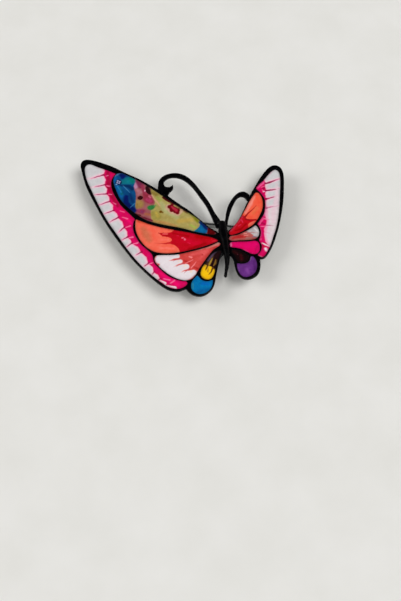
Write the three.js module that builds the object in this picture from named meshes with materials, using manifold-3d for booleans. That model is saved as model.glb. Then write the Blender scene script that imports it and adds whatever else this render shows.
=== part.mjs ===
// A butterfly brooch: two enamelled wing trays, a raised body, two antennae, and a hinged pin
// with a locking catch on the back. Lengths are in millimetres. The brooch lies face up, so +Z
// is the normal of its face, +Y points to the head, and the origin is under its middle, at the
// level of the surface that it lies on.
import * as THREE from 'three';
import { mergeVertices } from 'three/addons/utils/BufferGeometryUtils.js';
import Module from 'manifold-3d';

// Metalwork
const FACE_Z = 5.1;
const PLATE_THICKNESS = 0.8;
const TRAY_FLOOR = 0.3;
const ENAMEL_BELOW_RIM = 0.12;
const ANTENNA_RISE = 0.25;
const BACK_Z = FACE_Z - PLATE_THICKNESS;

// Clearances and curve steps
const FIT_GAP = 0.03;
const OVERCUT = 1;
const OUTLINE_STEP = 0.7;
const ROUND_SEGMENTS = 24;

// Body
const BODY_SHOULDER_Z = 4.75;
const BODY_RINGS = 22;
const BODY_ARCH_STEPS = 8;
const TAIL_KNOB_RADIUS = 0.42;

// Pin line: the stem runs from the hinge, behind the left wing, to the catch, behind the right
const HINGE_X = -9;
const HINGE_Y = 5.05;
const PIN_TURN = THREE.MathUtils.degToRad(-7.45);
const CATCH_DISTANCE = 29.3;
const PIN_OVERHANG = 2.4;
const PIN_RADIUS = 0.3;
const PIN_POINT_LENGTH = 4;
const PIN_POINT_RADIUS = 0.04;

// Hinge
const EYE_RADIUS = 0.95;
const EYE_WIDTH = 1.2;
const EAR_THICKNESS = 0.4;
const EAR_GAP = 1.4;
const EAR_WIDTH = 2.3;
const RIVET_RADIUS = 0.38;
const RIVET_HEAD_RADIUS = 0.68;
const RIVET_HEAD_HEIGHT = 0.25;
const RIVET_CLEARANCE = 0.05;

// Catch
const HOUSING_RADIUS = 1.35;
const HOUSING_LENGTH = 2.2;
const HOUSING_SLOT = 0.9;
const SLEEVE_OUTER_RADIUS = 0.79;
const SLEEVE_INNER_RADIUS = 0.48;
const SLEEVE_LENGTH = 3.4;
const SLEEVE_SLOT = 0.8;
const SLEEVE_CLEARANCE = 0.06;
const TAB_REACH = 2.1;
const TAB_THICKNESS = 0.5;
const TAB_WIDTH = 0.8;
const NECK_WIDTH = 1.2;

// Base plates of the hinge and the catch
const PAD_LENGTH = 4.6;
const PAD_WIDTH = 3.4;
const PAD_THICKNESS = 0.4;

// The slotted ring of the catch is the lowest thing on the brooch, and rests on two edges
const PIN_Z = Math.sqrt(HOUSING_RADIUS ** 2 - (HOUSING_SLOT / 2) ** 2);
const PAD_TOP = BACK_Z - FIT_GAP - PIN_Z;

const wasm = await Module();
wasm.setup();

const blackPlate = new THREE.MeshStandardMaterial({ color: 0x060608, roughness: 0.22, metalness: 0.9 });
const darkSteel = new THREE.MeshStandardMaterial({ color: 0x3a3c3e, roughness: 0.3, metalness: 1 });
const enamel = color => new THREE.MeshStandardMaterial({ color, roughness: 0.08, metalness: 0 });

// ---- Curves and solids ----

// Evenly spaced points on a smooth curve through the given ones; the last point is left out.
function sample(points, closed) {
  const knots = points.map(([x, y]) => new THREE.Vector3(x, y, 0));
  const curve = new THREE.CatmullRomCurve3(knots, closed, 'centripetal');
  const steps = Math.max(1, Math.round(curve.getLength() / OUTLINE_STEP));
  return curve.getSpacedPoints(steps).slice(0, -1).map(({ x, y }) => new THREE.Vector2(x, y));
}

// A closed outline without corners.
const smooth = points => sample(points, true);

// A closed outline of smooth runs, with a corner where each run starts.
function cornered(...runs) {
  return runs.flatMap((run, i) => sample([...run, runs[(i + 1) % runs.length][0]], false));
}

// The outline moved outwards by a small distance, or inwards by a negative one.
function offset(outline, distance) {
  const side = Math.sign(THREE.ShapeUtils.area(outline));
  return outline.map((point, i) => {
    const before = outline.at(i - 1);
    const after = outline[(i + 1) % outline.length];
    const along = after.clone().sub(before).setLength(side * distance);
    return new THREE.Vector2(point.x + along.y, point.y - along.x);
  });
}

function prism(outline, low, high) {
  const shape = new THREE.Shape(outline);
  const geometry = new THREE.ExtrudeGeometry(shape, { depth: high - low, bevelEnabled: false });
  return geometry.translate(0, 0, low);
}

function box(xs, ys, zs) {
  const geometry = new THREE.BoxGeometry(xs[1] - xs[0], ys[1] - ys[0], zs[1] - zs[0]);
  return geometry.translate((xs[0] + xs[1]) / 2, (ys[0] + ys[1]) / 2, (zs[0] + zs[1]) / 2);
}

// A round bar along X from start to start + length.
function barAlongX(radius, start, length) {
  const bar = new THREE.CylinderGeometry(radius, radius, length, ROUND_SEGMENTS);
  return bar.rotateZ(Math.PI / 2).translate(start + length / 2, 0, 0);
}

// A round bar along Y, centred on the origin. It has a corner straight below its axis.
const barAlongY = (radius, length) => new THREE.CylinderGeometry(radius, radius, length, ROUND_SEGMENTS);

function toSolid(geometry) {
  const bare = geometry.clone();
  bare.deleteAttribute('normal');
  bare.deleteAttribute('uv');
  const merged = mergeVertices(bare);
  const triVerts = Uint32Array.from(merged.index.array);
  const mesh = new wasm.Mesh({ numProp: 3, vertProperties: merged.attributes.position.array, triVerts });
  return new wasm.Manifold(mesh);
}

function toGeometry(solid) {
  const { vertProperties, triVerts } = solid.getMesh();
  const geometry = new THREE.BufferGeometry();
  geometry.setAttribute('position', new THREE.BufferAttribute(vertProperties, 3));
  geometry.setIndex(new THREE.BufferAttribute(triVerts, 1));
  geometry.computeVertexNormals();
  return geometry;
}

const join = (...geometries) => geometries.map(toSolid).reduce((whole, next) => whole.add(next));
const cut = (solid, ...tools) => tools.map(toSolid).reduce((rest, tool) => rest.subtract(tool), solid);

function part(name, geometry, material) {
  const mesh = new THREE.Mesh(geometry, material);
  mesh.name = name;
  return mesh;
}

// ---- Outlines, seen from the front ----

const leftWingOutline = cornered(
  [
    [11, -2.5], [9.7, -1.8], [9, -1.3], [8, -0.65], [7, 0.1], [6, 1.1], [4, 3.1], [2, 5], [0, 6.5], [-2, 8.1],
    [-5, 10.55], [-8, 12.6], [-12, 15.2], [-16, 17.3], [-20, 19.5], [-24, 21.1], [-26, 21.65], [-27.3, 21.75],
    [-28.25, 21.4], [-28.75, 20.5], [-28.8, 19.6], [-28.3, 17.4], [-27.1, 13.4], [-25.3, 9.4], [-23.3, 5.4],
    [-21.15, 1.4], [-18.65, -2.6], [-15.95, -6.6], [-12.95, -10.65], [-10.1, -13.8], [-8.1, -15.8],
    [-5.1, -18.4], [-3.1, -19.55], [-1, -19.85], [0.2, -19.55],
  ],
  [
    [1.2, -19.1], [2, -20.1], [3, -20.85], [4.5, -21.3], [6, -21.05], [7.2, -20.3], [8.3, -19], [8.9, -17.35],
    [9.2, -15.6], [9.45, -14.1], [9.85, -12.1], [10.25, -10.3], [10.65, -9.35],
  ],
  [[11.2, -8.85], [12.2, -8.8]],
);

const rightWingOutline = cornered(
  [
    [12.3, -8.95], [13.2, -9], [13.6, -9.55], [14, -10.55], [14.25, -12.05], [14.6, -13.6], [15.2, -14.95],
    [16.3, -15.95], [17.5, -16.25], [18.9, -15.95], [20.1, -15.15], [20.9, -13.9], [21.2, -12.4], [21.2, -11],
  ],
  [
    [21.15, -10], [22, -9.95], [22.8, -9.35], [23.9, -7.6], [24.9, -5.4], [25.9, -2.4], [26.75, 0.7], [27.35, 3.6],
    [27.85, 6.4], [28.2, 9.5], [28.42, 13], [28.5, 15.6], [28.3, 17.6], [27.8, 18.9], [27, 19.65], [26, 19.92],
    [25, 19.6], [24, 18.8], [22, 16], [20.5, 13.3], [19.2, 10.7], [18, 7.7], [16.9, 5], [16.1, 3.1], [15.1, 1.3],
    [14.1, 0], [13.1, -1.05],
  ],
  [[12.5, -1.3], [11.7, -1.5]],
);

const leftCells = {
  left_border_enamel: {
    color: 0xe1cfd6,
    outline: cornered(
      [
        [-18.8, 16.95], [-21, 17.95], [-24, 19.15], [-26, 20.05], [-26.8, 19.95], [-27.4, 19.25], [-27.5, 18.2],
        [-26.8, 15], [-25.1, 11.05], [-22.3, 5.05], [-20.1, 1.05], [-17.5, -2.95], [-14.9, -6.95],
        [-11.9, -10.95], [-7.95, -15.1], [-4, -18.3], [-2.5, -19], [-1, -19.2], [0.2, -18.9], [1.2, -18.2],
        [1.6, -17.6],
      ],
      [
        [1.3, -17.05], [-0.4, -16.8], [-2.4, -16.1], [-4, -15.1], [-6, -13.1], [-7.4, -11.5], [-7.75, -10.2],
        [-8, -9], [-8.9, -7.9], [-11, -5.9], [-12.6, -3.4], [-13.4, -1], [-13.4, 1],
      ],
      [[-13, 2.2], [-15, 4.35], [-17, 6.55], [-18.4, 8.9], [-19.5, 11.2], [-20, 13.6], [-19.8, 15.2]],
      [[-19.3, 16.2]],
    ),
  },
  left_floral_enamel: {
    color: 0xa89a55,
    outline: cornered([
      [9.4, -2.25], [8.8, -1.65], [8, -1.15], [7, -0.4], [6, 0.6], [4, 2.5], [2, 4.05], [0, 5.35], [-4, 8.4],
      [-8, 11.5], [-12, 14.35], [-16, 16.65], [-17, 17.1], [-18, 17.05], [-18.8, 16.5], [-19.25, 15.5],
      [-19.3, 14.3], [-18.6, 12], [-17, 8.35], [-15, 6], [-12.6, 3.85], [-10, 2.05], [-7, 1], [-4, 0.25],
      [0, -0.6], [4, -1.8], [7, -2.4], [8.8, -2.65],
    ]),
  },
  left_orange_red_enamel: {
    color: 0xd2202d,
    outline: cornered(
      [[9.9, -4.6], [8.6, -3.8], [6, -3.1], [2, -2.1], [-2, -1.3], [-6, -0.4], [-9, 0.55], [-11, 1.4]],
      [
        [-12.7, 2.1], [-12.75, 0], [-12.4, -2], [-11.5, -4], [-10.1, -6], [-8.7, -7.2], [-7.2, -8], [-5, -8.4],
        [-2, -8.3], [2, -7.5], [6, -6.3], [8.6, -5.25],
      ],
    ),
  },
  left_coral_enamel: {
    color: 0xdca29c,
    outline: smooth([
      [-6.9, -9.3], [-5.6, -9.1], [-3, -9.05], [-1, -8.85], [2, -8.1], [6, -6.9], [8.4, -5.9], [9.8, -5.15],
      [10.4, -5.25], [10.35, -5.9], [9.6, -6.5], [8.5, -7.4], [7.2, -9.1], [6, -11], [4.7, -13.1], [3.7, -15],
      [2.7, -16.2], [1.4, -16.65], [0, -16.5], [-2, -15.7], [-4, -14.4], [-6, -12.5], [-7.1, -11.1], [-7.3, -10],
    ]),
  },
  left_amber_enamel: {
    color: 0xb0661a,
    outline: cornered([
      [10.7, -7.75], [9.8, -7.85], [8.4, -8.6], [7.4, -9.7], [6.3, -11.5], [5.4, -13.3], [5.15, -14.9],
      [5.7, -15.9], [6.9, -16.4], [8, -16], [8.65, -14.8], [9.15, -12.6], [9.7, -10.7], [10.35, -8.95],
    ]),
  },
  left_blue_enamel: {
    color: 0x0a78b4,
    outline: cornered(
      [
        [4.25, -15.2], [3.3, -16.3], [2.7, -17.5], [2.6, -18.7], [3, -19.75], [3.9, -20.5], [5, -20.75],
        [6.3, -20.4], [7.4, -19.55], [8.15, -18.2],
      ],
      [[8.35, -16.5], [7.3, -16.95], [6.2, -16.95], [5.1, -16.3]],
    ),
  },
};

const rightCells = {
  right_border_enamel: {
    color: 0xe6c2d2,
    outline: cornered(
      [
        [20.55, 12.15], [21.5, 13.45], [22.6, 14.5], [23.7, 16], [25.1, 17.65], [26.2, 18.3], [26.95, 17.7],
        [27.3, 16.4], [27.35, 14], [27.1, 10], [26.8, 6], [26.35, 2.4], [25.7, -0.6], [24.9, -3.2], [24, -6],
        [23, -8.1], [22.4, -9.15], [21.6, -9.6],
      ],
      [[20.5, -8.95], [21.3, -8], [21.7, -6.9], [21.65, -5.7], [21.3, -5.05]],
      [[21.05, -4.35], [21.45, -3.2], [21.6, -2], [21.45, -0.8], [21.1, 0.1]],
      [[20.75, 0.7], [21.7, 2.3], [22.5, 3.6], [22.9, 5.2], [23.02, 7], [22.9, 8.7], [22.2, 10.1], [21.3, 11.3]],
    ),
  },
  right_orange_red_enamel: {
    color: 0xe0432f,
    outline: smooth([
      [20.5, 10.75], [19.9, 10], [18.7, 7.9], [17.5, 5.4], [16.3, 3.1], [15.1, 1.2], [14, -0.35], [13.1, -1.55],
      [12.85, -2.2], [13.1, -2.75], [14, -2.65], [16, -1.85], [17.8, -0.7], [19.5, 0.6], [20.7, 2.2], [21.5, 3.8],
      [22.1, 5.4], [22.3, 7.2], [22.1, 8.9], [21.5, 10.2], [20.95, 10.8],
    ]),
  },
  right_coral_enamel: {
    color: 0xcf8f8a,
    outline: cornered(
      [
        [20.2, 0.25], [18.6, -0.95], [17, -1.9], [15, -2.85], [13.4, -3.15], [12.95, -3.5], [12.95, -4.2], [13.4, -4.5],
        [16, -4.4], [19, -4.2], [20.2, -3.8], [20.9, -2.9], [21.05, -1.8], [20.75, -0.6],
      ],
    ),
  },
  right_pink_enamel: {
    color: 0xe6067a,
    outline: smooth([
      [13.15, -5.2], [15, -4.95], [18, -4.85], [20, -4.65], [20.8, -5.1], [21.1, -6.2], [21, -7.7], [20.4, -8.5],
      [19.2, -8.65], [17.8, -8], [16.2, -7.1], [14.4, -6.65], [13.2, -6.5], [13.02, -5.9],
    ]),
  },
  right_maroon_enamel: {
    color: 0x2e0306,
    outline: smooth([
      [13.6, -7.45], [14.6, -7.45], [15.8, -7.75], [17.2, -8.6], [18.1, -9.4], [18.1, -10.2], [17.4, -10.95],
      [16.2, -11.2], [15.2, -11], [14.7, -10.1], [14.2, -8.9], [13.5, -8.1],
    ]),
  },
  right_purple_enamel: {
    color: 0x6f3191,
    outline: cornered(
      [
        [14.95, -11.55], [15.9, -11.7], [17.1, -11.6], [18, -11.1], [18.5, -10.3], [18.65, -9.5], [19.05, -9.35],
        [19.6, -9.9], [20.1, -10.9], [20.25, -12.2], [19.95, -13.8], [19.1, -14.9], [17.9, -15.55], [16.9, -15.65],
        [16, -15.15], [15.3, -14], [14.95, -12.7],
      ],
    ),
  },
};

const leftAntennaOutline = cornered(
  [
    [10.9, 1.3], [10, 2.7], [9, 4.4], [8, 6.6], [7.1, 8.3], [5.15, 11.3], [3.15, 14.15], [1.15, 16.15],
    [-0.85, 17.1], [-2.85, 17.2], [-4.85, 16.6], [-6.2, 15.4], [-6.75, 14], [-6.8, 12.8], [-6.85, 11.4],
  ],
  [[-6.4, 10.6], [-4, 9]],
  [[-4, 10], [-3.6, 10.9], [-3, 11.6], [-2.55, 12.3]],
  [
    [-2.65, 13.4], [-3.1, 12.9], [-3.8, 12.6], [-4.6, 12.7], [-5.15, 13.3], [-5.2, 14.3], [-4.6, 15.25],
    [-3.4, 15.85], [-1.85, 15.9], [-0.35, 15.45], [1, 14.55], [2.95, 12.45], [4.9, 9.4], [6.55, 6.7],
    [7.85, 3.7], [8.75, 1.4], [9.5, -0.4],
  ],
  [[10.9, -0.6]],
);

const rightAntennaOutline = cornered(
  [
    [11.2, 0.9], [11.85, 2.2], [12, 3.5], [12.4, 5.5], [13, 7.2], [14, 9], [15, 10.25], [16, 10.95], [17, 11.15],
    [17.8, 10.85], [18.4, 10.3],
  ],
  [[18.9, 9.9], [19.9, 9.9], [18.7, 7.9]],
  [
    [17.9, 8.5], [17.4, 9.3], [16.6, 9.65], [15.7, 9.4], [15, 8.65], [14.3, 7.3], [13.6, 5.5], [13, 3.4],
    [12.6, 1.6], [12.4, 0.3],
  ],
  [[11.6, -0.3]],
);

// Body stations from head to tail: y, x of the middle, half width, height of the crest
const bodyStations = [
  [1.75, 10.93, 0.92, 5.5], [0.9, 11, 1.1, 5.75], [-0.6, 11.18, 1.24, 5.95], [-2.4, 11.32, 1.3, 6.1],
  [-4, 11.52, 1.2, 6.1], [-5.4, 11.77, 1.04, 6.05], [-7, 11.95, 0.96, 6], [-8.6, 12.15, 0.86, 5.9],
  [-10, 12.27, 0.7, 5.75], [-11.6, 12.22, 0.58, 5.55], [-13.4, 12.03, 0.47, 5.35], [-15.1, 11.78, 0.32, 5.1],
];

// ---- Wings, body and antennae ----

function bodySections() {
  const middles = bodyStations.map(([y, x]) => new THREE.Vector3(x, y, 0));
  const sizes = bodyStations.map(([, , half, crest]) => new THREE.Vector3(half, crest, 0));
  const path = new THREE.CatmullRomCurve3(middles);
  const profile = new THREE.CatmullRomCurve3(sizes);
  return Array.from({ length: BODY_RINGS }, (_, i) => {
    const t = i / (BODY_RINGS - 1);
    const middle = path.getPoint(t);
    const size = profile.getPoint(t);
    return { x: middle.x, y: middle.y, half: size.x, crest: size.y };
  });
}

function bodyOutline(sections) {
  const right = sections.map(({ x, y, half }) => new THREE.Vector2(x + half, y));
  const left = sections.map(({ x, y, half }) => new THREE.Vector2(x - half, y));
  return [...right, ...left.reverse()];
}

// One closed ring of the body: a flat base, short upright sides and an arch.
function bodyRing({ x, y, half, crest }) {
  const ring = [new THREE.Vector3(x + half, y, BACK_Z)];
  for (let i = 0; i <= BODY_ARCH_STEPS; i++) {
    const angle = Math.PI * i / BODY_ARCH_STEPS;
    const rise = (crest - BODY_SHOULDER_Z) * Math.sin(angle);
    ring.push(new THREE.Vector3(x + half * Math.cos(angle), y, BODY_SHOULDER_Z + rise));
  }
  ring.push(new THREE.Vector3(x - half, y, BACK_Z));
  return ring;
}

// Rings of equal length joined into one closed skin, with a fan over each end.
function loft(rings) {
  const size = rings[0].length;
  const last = (rings.length - 1) * size;
  const index = [];
  for (let row = 0; row < last; row += size) {
    for (let i = 0; i < size; i++) {
      const next = (i + 1) % size;
      index.push(row + i, row + next, row + size + i, row + next, row + size + next, row + size + i);
    }
  }
  for (let i = 1; i < size - 1; i++) {
    index.push(0, i + 1, i);
    index.push(last, last + i, last + i + 1);
  }
  const geometry = new THREE.BufferGeometry().setFromPoints(rings.flat());
  geometry.setIndex(index);
  return geometry;
}

function tailKnob({ x, y }) {
  const knob = new THREE.SphereGeometry(TAIL_KNOB_RADIUS, 12, 8);
  return knob.translate(x, y, BACK_Z + TAIL_KNOB_RADIUS);
}

// A tray with its enamel cells sunk in it, trimmed to leave room for the body.
function wingTray(outline, cells, room) {
  const pockets = Object.values(cells).map(cell => prism(cell.outline, BACK_Z + TRAY_FLOOR, FACE_Z + OVERCUT));
  return toGeometry(cut(toSolid(prism(outline, BACK_Z, FACE_Z)), ...pockets, room));
}

function enamelFills(cells) {
  return Object.entries(cells).map(([name, { outline, color }]) => {
    const floor = BACK_Z + TRAY_FLOOR + FIT_GAP;
    const fill = prism(offset(outline, -FIT_GAP), floor, FACE_Z - ENAMEL_BELOW_RIM);
    return part(name, fill, enamel(color));
  });
}

function antenna(outline, ...rooms) {
  return toGeometry(cut(toSolid(prism(outline, BACK_Z, FACE_Z + ANTENNA_RISE)), ...rooms));
}

function front() {
  const room = outline => prism(offset(outline, FIT_GAP), BACK_Z - OVERCUT, FACE_Z + OVERCUT);
  const sections = bodySections();
  const bodyRoom = room(bodyOutline(sections));
  const body = join(loft(sections.map(bodyRing)), tailKnob(sections.at(-1)));
  return [
    part('body_casting', toGeometry(body), blackPlate),
    part('left_wing_frame', wingTray(leftWingOutline, leftCells, bodyRoom), blackPlate),
    part('right_wing_frame', wingTray(rightWingOutline, rightCells, bodyRoom), blackPlate),
    part('left_antenna', antenna(leftAntennaOutline, bodyRoom, room(leftWingOutline)), blackPlate),
    part('right_antenna', antenna(rightAntennaOutline, bodyRoom, room(rightWingOutline)), blackPlate),
    ...enamelFills(leftCells),
    ...enamelFills(rightCells),
  ];
}

// ---- Hinge, pin and catch, on the pin line: X runs to the point, Y is the rivet's axis ----

const pad = x => box([x - PAD_LENGTH / 2, x + PAD_LENGTH / 2], [-PAD_WIDTH / 2, PAD_WIDTH / 2],
  [PAD_TOP - PAD_THICKNESS, PAD_TOP]);

function ear(side) {
  const middle = side * (EAR_GAP + EAR_THICKNESS) / 2;
  const ys = [middle - EAR_THICKNESS / 2, middle + EAR_THICKNESS / 2];
  const foot = barAlongY(PIN_Z, EAR_THICKNESS).translate(0, middle, 0);
  return join(foot, box([-EAR_WIDTH / 2, EAR_WIDTH / 2], ys, [0, PAD_TOP - PAD_THICKNESS / 2]));
}

function hingeBracket() {
  const whole = toSolid(pad(0)).add(ear(-1)).add(ear(1));
  return toGeometry(cut(whole, barAlongY(RIVET_RADIUS + FIT_GAP, PAD_WIDTH)));
}

function hingeRivet() {
  const half = EAR_GAP / 2 + EAR_THICKNESS + FIT_GAP + RIVET_HEAD_HEIGHT;
  const neck = half - RIVET_HEAD_HEIGHT;
  const profile = [
    [0, -half], [RIVET_HEAD_RADIUS, -half], [RIVET_HEAD_RADIUS, -neck], [RIVET_RADIUS, -neck],
    [RIVET_RADIUS, neck], [RIVET_HEAD_RADIUS, neck], [RIVET_HEAD_RADIUS, half], [0, half],
  ];
  return new THREE.LatheGeometry(profile.map(([r, y]) => new THREE.Vector2(r, y)), ROUND_SEGMENTS);
}

function pinStem() {
  const length = CATCH_DISTANCE + PIN_OVERHANG;
  const profile = [
    [0, 0], [PIN_RADIUS, 0], [PIN_RADIUS, length - PIN_POINT_LENGTH], [PIN_POINT_RADIUS, length], [0, length],
  ];
  const wire = new THREE.LatheGeometry(profile.map(([r, y]) => new THREE.Vector2(r, y)), ROUND_SEGMENTS / 2);
  const eye = barAlongY(EYE_RADIUS, EYE_WIDTH);
  const hole = barAlongY(RIVET_RADIUS + RIVET_CLEARANCE, EYE_WIDTH + OVERCUT);
  return toGeometry(cut(join(wire.rotateZ(-Math.PI / 2), eye), hole));
}

// A channel below the axis of the catch, open downwards, along X.
const slotBelow = (width, start, length) => box([start - OVERCUT, start + length + OVERCUT],
  [-width / 2, width / 2], [-HOUSING_RADIUS - OVERCUT, 0]);

function catchHousing() {
  const start = CATCH_DISTANCE - HOUSING_LENGTH / 2;
  const neck = box([start, start + HOUSING_LENGTH], [-NECK_WIDTH / 2, NECK_WIDTH / 2],
    [0, PAD_TOP - PAD_THICKNESS / 2]);
  const whole = join(pad(CATCH_DISTANCE), neck, barAlongX(HOUSING_RADIUS, start, HOUSING_LENGTH));
  const bore = barAlongX(SLEEVE_OUTER_RADIUS + SLEEVE_CLEARANCE, start - OVERCUT, HOUSING_LENGTH + 2 * OVERCUT);
  return toGeometry(cut(whole, bore, slotBelow(HOUSING_SLOT, start, HOUSING_LENGTH)));
}

// The sleeve is shown unlocked, with its slot in line with the housing's.
function catchSleeve() {
  const end = CATCH_DISTANCE + HOUSING_LENGTH / 2 + SLEEVE_CLEARANCE;
  const start = end - SLEEVE_LENGTH;
  const tab = box([start, start + TAB_WIDTH], [SLEEVE_INNER_RADIUS, TAB_REACH],
    [-TAB_THICKNESS / 2, TAB_THICKNESS / 2]);
  const whole = join(barAlongX(SLEEVE_OUTER_RADIUS, start, SLEEVE_LENGTH), tab);
  const bore = barAlongX(SLEEVE_INNER_RADIUS, start - OVERCUT, SLEEVE_LENGTH + 2 * OVERCUT);
  return toGeometry(cut(whole, bore, slotBelow(SLEEVE_SLOT, start, SLEEVE_LENGTH)));
}

function back() {
  const findings = new THREE.Group();
  findings.position.set(HINGE_X, HINGE_Y, PIN_Z);
  findings.rotation.z = PIN_TURN;
  findings.add(
    part('hinge_bracket', hingeBracket(), blackPlate),
    part('hinge_rivet', hingeRivet(), darkSteel),
    part('pin_stem', pinStem(), darkSteel),
    part('catch_housing', catchHousing(), blackPlate),
    part('catch_sleeve', catchSleeve(), darkSteel),
  );
  return findings;
}

const brooch = new THREE.Group();
brooch.name = 'butterfly_brooch';
brooch.add(...front(), back());

export default brooch;
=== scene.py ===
"""The looks of the butterfly brooch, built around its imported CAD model.

Shapes are worked out in millimetres and turned into metres when a mesh is made. X runs to the
right of the brooch's face, Y to its head and Z out of its face.
"""
import math

import bmesh
import bpy
import numpy as np
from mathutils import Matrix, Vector, noise
from mathutils.geometry import delaunay_2d_cdt


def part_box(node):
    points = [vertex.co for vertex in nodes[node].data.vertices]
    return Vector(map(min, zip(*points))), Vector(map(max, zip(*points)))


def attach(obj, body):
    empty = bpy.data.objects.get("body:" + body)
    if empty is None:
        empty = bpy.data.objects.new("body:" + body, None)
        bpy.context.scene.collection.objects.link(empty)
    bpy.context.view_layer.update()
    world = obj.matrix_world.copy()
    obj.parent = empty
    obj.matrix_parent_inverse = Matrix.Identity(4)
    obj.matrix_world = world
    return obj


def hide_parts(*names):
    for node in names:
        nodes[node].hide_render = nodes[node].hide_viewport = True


MM = 0.001
TINY = 1e-12
WELD_DISTANCE = 1e-7
CAD_WELD_DISTANCE = 2e-6

# Outlines, and the points that fill them
OUTLINE_STEP = 0.2
CORNER_TURN = math.radians(62)
CORNER_SOFTNESS = 0.1
ROUNDS_PER_SOFT_STEP = 4
LEVEL_TOLERANCE = 0.002
WELD_DECIMALS = 3
POINTS_AT_ONCE = 800
ROW_SPACING = 0.866
RING_MARGIN = 0.97
GRID_MARGIN = 0.4
TRIANGLE_TOLERANCE = 1e-6

# Metalwork, with sharp edges told apart by their angle in degrees
RIM_EDGE = 0.13
BACK_EDGE = 0.08
ANTENNA_EDGE = 0.32
FINDING_EDGE = 0.06
FINDING_EDGE_SEGMENTS = 3
TRAY_FLOOR = 0.3
ROUNDING_STEPS = (0.12, 0.3, 0.55, 1.0)
CASTING_SHARP = 50
FINDING_SHARP = 38
BEVELLED_FROM = 40
FLAT_WITHIN = 1

# Enamel
ENAMEL_OVERLAP = 0.06
ENAMEL_GRID = 0.13
ENAMEL_RINGS = (0.05, 0.12, 0.21, 0.32)
ENAMEL_SHARP = 60
MENISCUS_WIDTH = 0.36
MENISCUS_ROUNDS = 160
ON_EDGE = 1e-4
EDGE_BELOW_RIM = 0.05
MIDDLE_BELOW_RIM = 0.135

# Body. A whole cross-section of its CAD node has at least this many points
BODY_RING_POINTS = 11
BODY_STATION_STEP = 0.14
BODY_ARCH_STEPS = 20
BODY_ARCH_POWER = 0.9
BODY_SHOULDER = 0.45
BODY_LOW_EDGE = 0.06
HEAD_ROUNDING = 0.5
HEAD_STATIONS = 8
HEAD_NARROWING = 0.8
HEAD_END_HEIGHT = 0.25
KNOB_RADIUS = 0.42

# Painting: the painted shade along each cell's rim, partly the wall's shade and partly thin enamel over the
# black metal, the amount and size of each wobble of the brush, and soft patches
EDGE_SHADE = 0.5
EDGE_SHADE_WIDTH = 0.2
BRUSH_WOBBLES = ((0.1, 1.3), (0.05, 0.45))
PATCH_STEP = 0.3
PATCH_SOFTNESS = 0.25

# The white teeth: the rounding and the bulge of their ends, as shares of their width
TOOTH_ROUNDING = 0.2
TOOTH_BULGE = 0.09

# The share of a spike's length over which its root flares
SPIKE_FLARE = 0.3

# Colours, as 0 to 255 screen values
WHITE = (212, 210, 212)
PINK_WHITE = (232, 206, 214)
BLUSH = (242, 176, 200)
SPIKE = (158, 26, 80)
PINK = (222, 7, 98)
DEEP_PINK = (172, 6, 70)
LIGHT_PINK = (250, 112, 164)
CORAL = (216, 74, 70)
DEEP_CORAL = (190, 44, 44)
CORAL_LIGHT = (246, 134, 136)
ORANGE = (250, 111, 87)
RED = (200, 4, 30)
DARK_RED = (172, 0, 8)
NAVY = (2, 22, 96)
BLUE = (8, 78, 132)
TEAL = (12, 118, 134)
PALE_BLUE = (64, 132, 178)
MAROON = (48, 8, 13)
OLIVE = (178, 162, 94)
YELLOW = (250, 200, 16)

# Dark spikes between the white teeth, each from its root in the pink to its tip
LEFT_SPIKES = [
    ((-22.2, 18.9), (-26.6, 21.6)),
    ((-22.0, 16.7), (-25.6, 15.5)),
    ((-21.6, 13.4), (-24.6, 12.7)),
    ((-21.0, 10.5), (-24.3, 10.1)),
    ((-20.0, 8.1), (-23.0, 6.8)),
    ((-18.9, 5.1), (-21.4, 4.0)),
    ((-17.5, 2.9), (-19.9, 1.3)),
    ((-15.8, -0.2), (-17.3, -1.9)),
    ((-14.8, -3.3), (-16.2, -4.3)),
    ((-13.6, -5.3), (-15.0, -6.6)),
    ((-10.8, -8.0), (-12.4, -9.0)),
    ((-8.9, -11.4), (-10.3, -12.7)),
    ((-7.3, -14.1), (-8.1, -15.1)),
    ((-5.6, -16.2), (-6.6, -16.9)),
]

RIGHT_SPIKES = [
    ((22.9, 15.9), (26.4, 19.6)),
    ((23.2, 13.8), (27.3, 15.4)),
    ((23.3, 11.5), (27.0, 12.1)),
    ((23.3, 8.7), (26.4, 9.7)),
    ((23.3, 5.8), (26.3, 6.6)),
]

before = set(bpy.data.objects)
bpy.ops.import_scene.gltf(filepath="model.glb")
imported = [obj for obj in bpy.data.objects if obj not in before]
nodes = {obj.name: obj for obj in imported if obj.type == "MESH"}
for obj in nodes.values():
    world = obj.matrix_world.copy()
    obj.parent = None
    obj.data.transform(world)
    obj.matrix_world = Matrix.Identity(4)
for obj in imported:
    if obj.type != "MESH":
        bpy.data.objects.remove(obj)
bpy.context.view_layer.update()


def linear(rgb):
    """A linear colour from its 0 to 255 screen values, by the sRGB curve."""
    share = np.array(rgb, float) / 255
    return np.where(share <= 0.04045, share / 12.92, ((share + 0.055) / 1.055) ** 2.4)


# ---- Outlines taken from the CAD nodes ----


def node_points(name):
    return np.array([v.co for v in nodes[name].data.vertices]) / MM


def top_of(name):
    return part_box(name)[1].z / MM


def bottom_of(name):
    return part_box(name)[0].z / MM


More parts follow.
